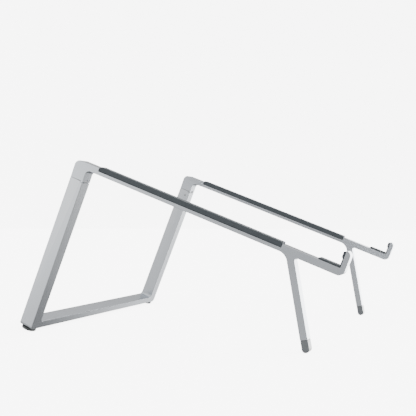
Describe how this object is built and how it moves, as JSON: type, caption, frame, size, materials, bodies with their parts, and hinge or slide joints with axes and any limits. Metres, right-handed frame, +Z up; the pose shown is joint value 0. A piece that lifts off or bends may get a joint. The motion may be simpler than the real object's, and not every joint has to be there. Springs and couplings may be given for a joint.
{
  "type": "laptop stand",
  "caption": "Folding open-frame laptop stand: a U-shaped rear leg frame and slim side arms with padded rails, front hooks and short front legs.",
  "frame": {"origin": "on the floor plane, at the centre of the stand's box", "axes": "+X to the right of a user in front of the stand, +Y from the hooks to the rear frame, +Z up"},
  "size_m": [0.24, 0.293, 0.15],
  "materials": {
    "aluminium": "satin anodised, fine bead blast",
    "silicone": "matt dark grey silicone",
    "cap_silicone": "satin mid grey silicone",
    "foot_rubber": "matt black rubber",
    "steel": "ground steel",
    "acetal": "turned grey acetal"
  },
  "bodies": {
    "rear_frame": {"rear_leg_frame": "aluminium", "left_rear_foot": "foot_rubber", "left_hinge_tongue": "steel", "left_tongue_dowel_upper": "steel", "left_tongue_dowel_lower": "steel", "right_rear_foot": "foot_rubber", "right_hinge_tongue": "steel", "right_tongue_dowel_upper": "steel", "right_tongue_dowel_lower": "steel"},
    "left_arm": {"left_side_arm": "aluminium", "left_rail_pad": "silicone", "left_hook_pad": "silicone", "left_leg_cap": "cap_silicone", "left_hinge_pin": "steel", "left_hinge_washer_outer": "acetal", "left_hinge_washer_inner": "acetal"},
    "right_arm": {"right_side_arm": "aluminium", "right_rail_pad": "silicone", "right_hook_pad": "silicone", "right_leg_cap": "cap_silicone", "right_hinge_pin": "steel", "right_hinge_washer_outer": "acetal", "right_hinge_washer_inner": "acetal"}
  },
  "joints": [
    {"name": "left_arm_fold", "type": "hinge", "parent": "rear_frame", "child": "left_arm", "pos_m": [-0.114, 0.08275, 0.1319], "axis": [1, 0, 0], "range_deg": [0, 90]},
    {"name": "right_arm_fold", "type": "hinge", "parent": "rear_frame", "child": "right_arm", "pos_m": [0.114, 0.08275, 0.1319], "axis": [1, 0, 0], "range_deg": [0, 90]}
  ]
}
